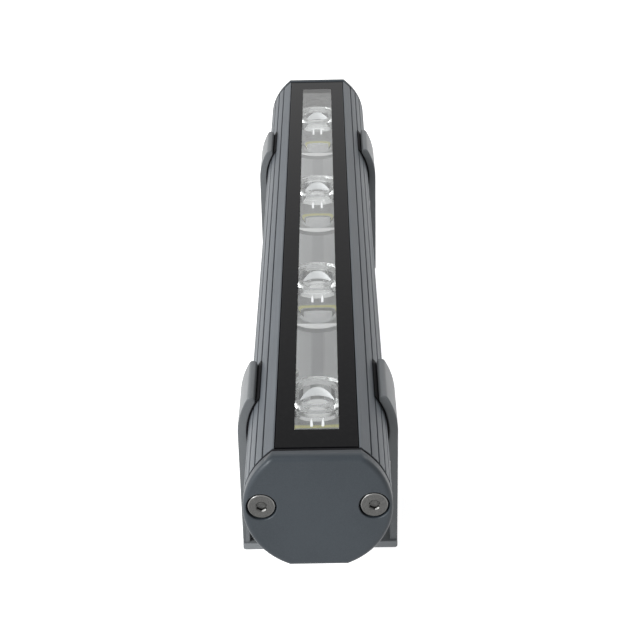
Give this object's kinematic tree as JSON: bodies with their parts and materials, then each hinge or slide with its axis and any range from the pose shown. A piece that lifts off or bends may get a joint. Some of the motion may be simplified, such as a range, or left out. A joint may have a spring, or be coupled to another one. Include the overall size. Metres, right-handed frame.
{
  "type": "outdoor wall washer light",
  "caption": "Round aluminium wall washer lamp, glass up, lenses behind a black-bordered window, tilting in clip brackets with screw-down bases.",
  "frame": {"origin": "midway between the four fixing holes, on the plane of the brackets' undersides, where the wall is", "axes": "+Z away from the wall, through the lamp's glass; +Y along the lamp from its front end cap to the end with the cable gland; +X across, to the right seen from the front end"},
  "size_m": [0.0462, 0.3143, 0.0569],
  "materials": {
    "housing": "grey anodised, fine drawn lines lengthwise",
    "brackets": "grey anodised",
    "end_caps": "slate grey powder coat, satin",
    "screws": "stainless",
    "glass": "toughened, clear, black printed border",
    "rubber": "matt",
    "led_board": "white solder mask on aluminium core",
    "thermal_pad": "grey, soft",
    "led": "white base, yellow phosphor",
    "lens": "clear acrylic, polished",
    "holder": "white",
    "driver_board": "green solder mask",
    "dark_parts": "black",
    "capacitor": "sleeved can",
    "terminal": "green",
    "pins": "gold plated",
    "gland": "black polyamide"
  },
  "bodies": {
    "brackets": {"front_bracket": "brackets", "rear_bracket": "brackets", "front_bracket_liner": "rubber", "rear_bracket_liner": "rubber", "tilt_lock_screws": "screws"},
    "lamp": {"housing": "housing", "front_end_cap": "end_caps", "rear_end_cap": "end_caps", "front_cap_screws": "screws", "rear_cap_screws": "screws", "led_board_screws": "screws", "cover_glass": "glass", "glass_gasket": "rubber", "front_cap_gasket": "rubber", "rear_cap_gasket": "rubber", "gland_seal": "rubber", "gland_sealing_ring": "rubber", "led_board": "led_board", "thermal_pad": "thermal_pad", "driver_board": "driver_board", "power_inductors": "dark_parts", "control_chip": "dark_parts", "filter_capacitors": "capacitor", "input_terminal": "terminal", "link_header": "dark_parts", "link_pins": "pins", "gland_body": "gland", "gland_nut": "gland", "gland_locknut": "gland", "led_1": "led", "lens_1": "lens", "lens_holder_1": "holder", "led_2": "led", "lens_2": "lens", "lens_holder_2": "holder", "led_3": "led", "lens_3": "lens", "lens_holder_3": "holder", "led_4": "led", "lens_4": "lens", "lens_holder_4": "holder"}
  },
  "joints": [
    {"name": "lamp_tilt", "type": "hinge", "parent": "brackets", "child": "lamp", "pos_m": [0, 0, 0.0405], "axis": [0, 1, 0], "range_deg": [-35, 35]}
  ]
}
